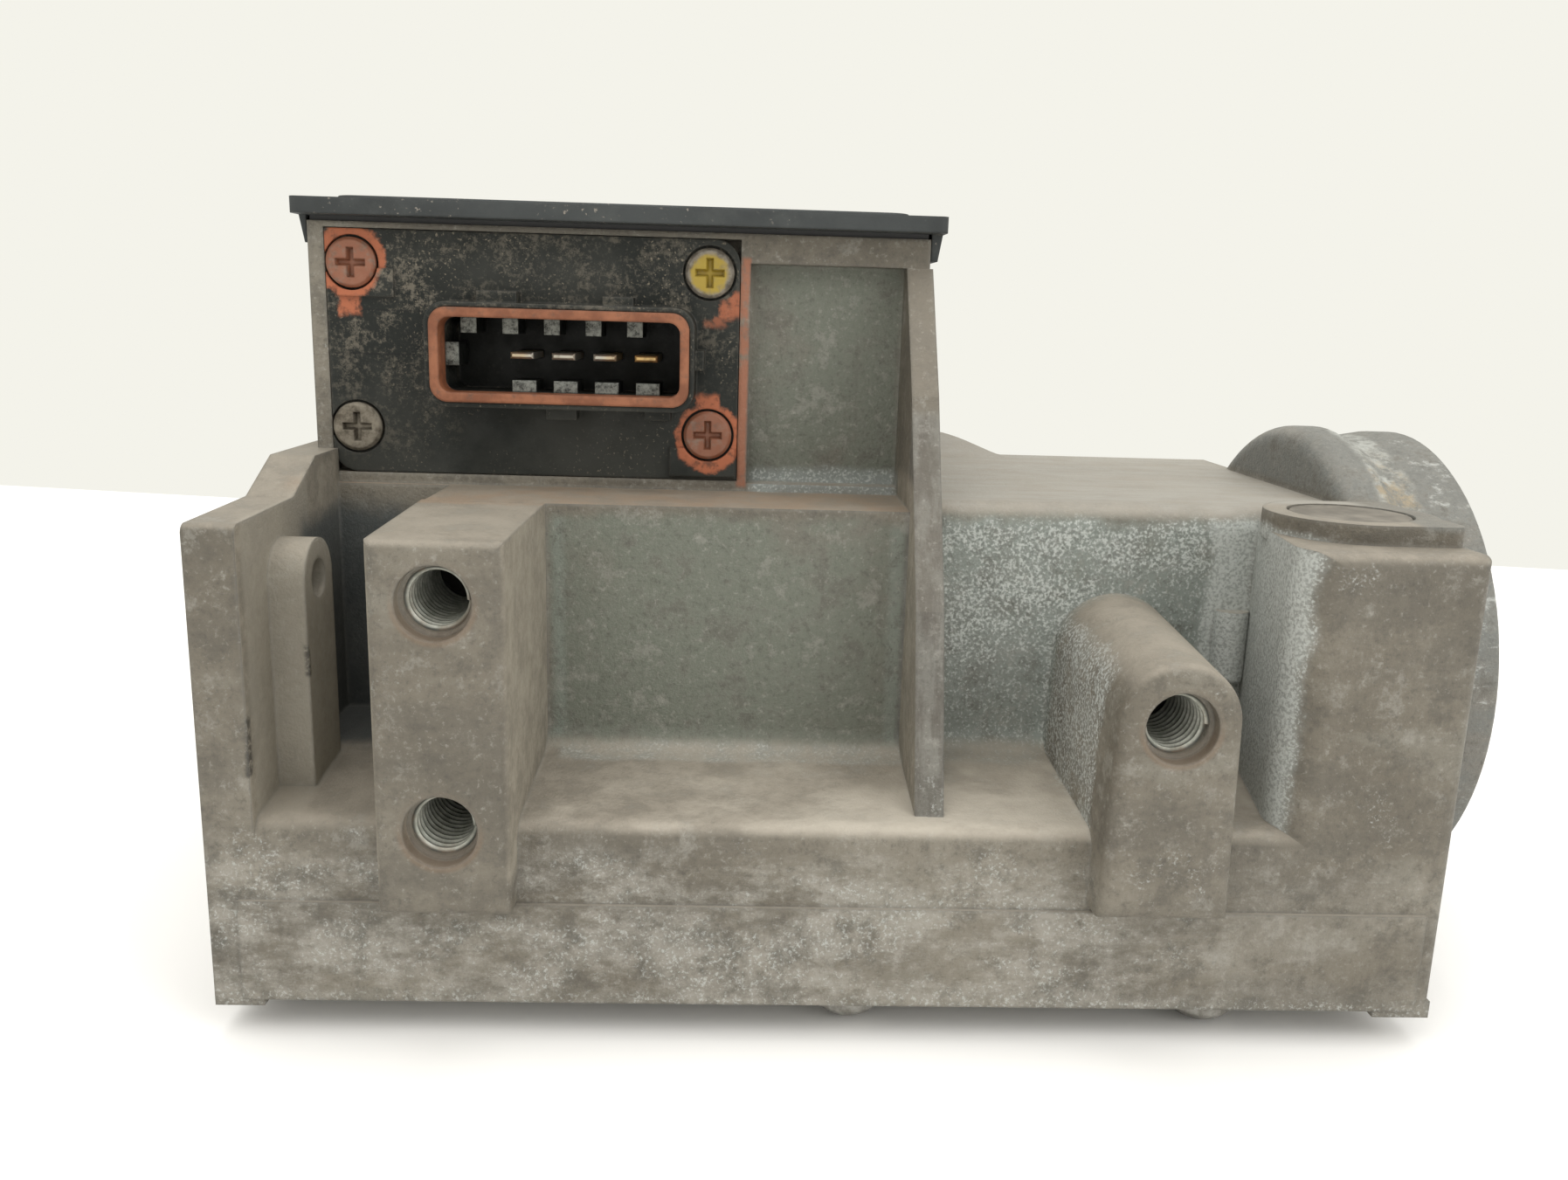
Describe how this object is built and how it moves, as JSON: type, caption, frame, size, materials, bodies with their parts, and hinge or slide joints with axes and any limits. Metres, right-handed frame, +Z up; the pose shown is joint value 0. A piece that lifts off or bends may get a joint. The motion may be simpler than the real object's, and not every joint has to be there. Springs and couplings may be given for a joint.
{
  "type": "air flow meter",
  "caption": "Flap-type air flow meter: cast duct with a swinging vane, plug socket on the electronics box, hose spigot and tapped bracket bosses.",
  "frame": {"origin": "centre of the bounding box in plan, at the plane under the bottom cover's screw heads", "axes": "+X along the air flow from inlet flange to hose spigot, +Y away from the bracket side, +Z up to the lid"},
  "size_m": [0.146, 0.1, 0.091],
  "materials": {
    "housing_casting": "sand-grey die casting, dusty and spotted with white corrosion",
    "cover_sheet": "matt sheet",
    "gasket_paper": "matt",
    "zinc_screws": "dull zinc",
    "lid_plastic": "dusty black",
    "seal_rubber": "matt",
    "plate_plastic": "dusty black",
    "orange_rubber": "matt terracotta orange",
    "marked_screws": "dull, dabbed with orange and yellow marking paint",
    "blade_metal": "tarnished",
    "flap_casting": "satin",
    "shaft_steel": "ground",
    "bush_bronze": "satin",
    "wheel_plastic": "moulded",
    "wiper_plastic": "moulded",
    "board_ceramic": "matt ceramic",
    "bypass_brass": "turned",
    "plug_aluminium": "dull",
    "sensor_plastic": "moulded"
  },
  "bodies": {
    "housing": {"main_housing": "housing_casting", "bottom_cover": "cover_sheet", "bottom_cover_gasket": "gasket_paper", "bottom_cover_screws": "zinc_screws", "electronics_lid": "lid_plastic", "lid_seal": "seal_rubber", "connector_plate": "plate_plastic", "connector_seal": "orange_rubber", "terminal_1": "blade_metal", "terminal_2": "blade_metal", "terminal_3": "blade_metal", "terminal_4": "blade_metal", "plate_screws": "marked_screws", "lower_bearing": "bush_bronze", "upper_bearing": "bush_bronze", "tension_wheel": "wheel_plastic", "return_spring": "shaft_steel", "wheel_clip": "shaft_steel", "wheel_clip_screw": "zinc_screws", "resistor_board": "board_ceramic", "board_screws": "zinc_screws", "bypass_screw": "bypass_brass", "bypass_seal_ring": "seal_rubber", "bypass_plug": "plug_aluminium", "temperature_sensor": "sensor_plastic"},
    "flap": {"measuring_flap": "flap_casting", "flap_shaft": "shaft_steel", "wiper_arm": "wiper_plastic", "wiper_contact": "bush_bronze", "counterweight": "shaft_steel"}
  },
  "joints": [
    {"name": "flap_swing", "type": "hinge", "parent": "housing", "child": "flap", "pos_m": [-0.0189, 0.013, 0.05], "axis": [0, 0, 1], "range_deg": [0, 85], "stiffness_Nm_per_rad": 0.004, "springref_deg": -34.38}
  ]
}
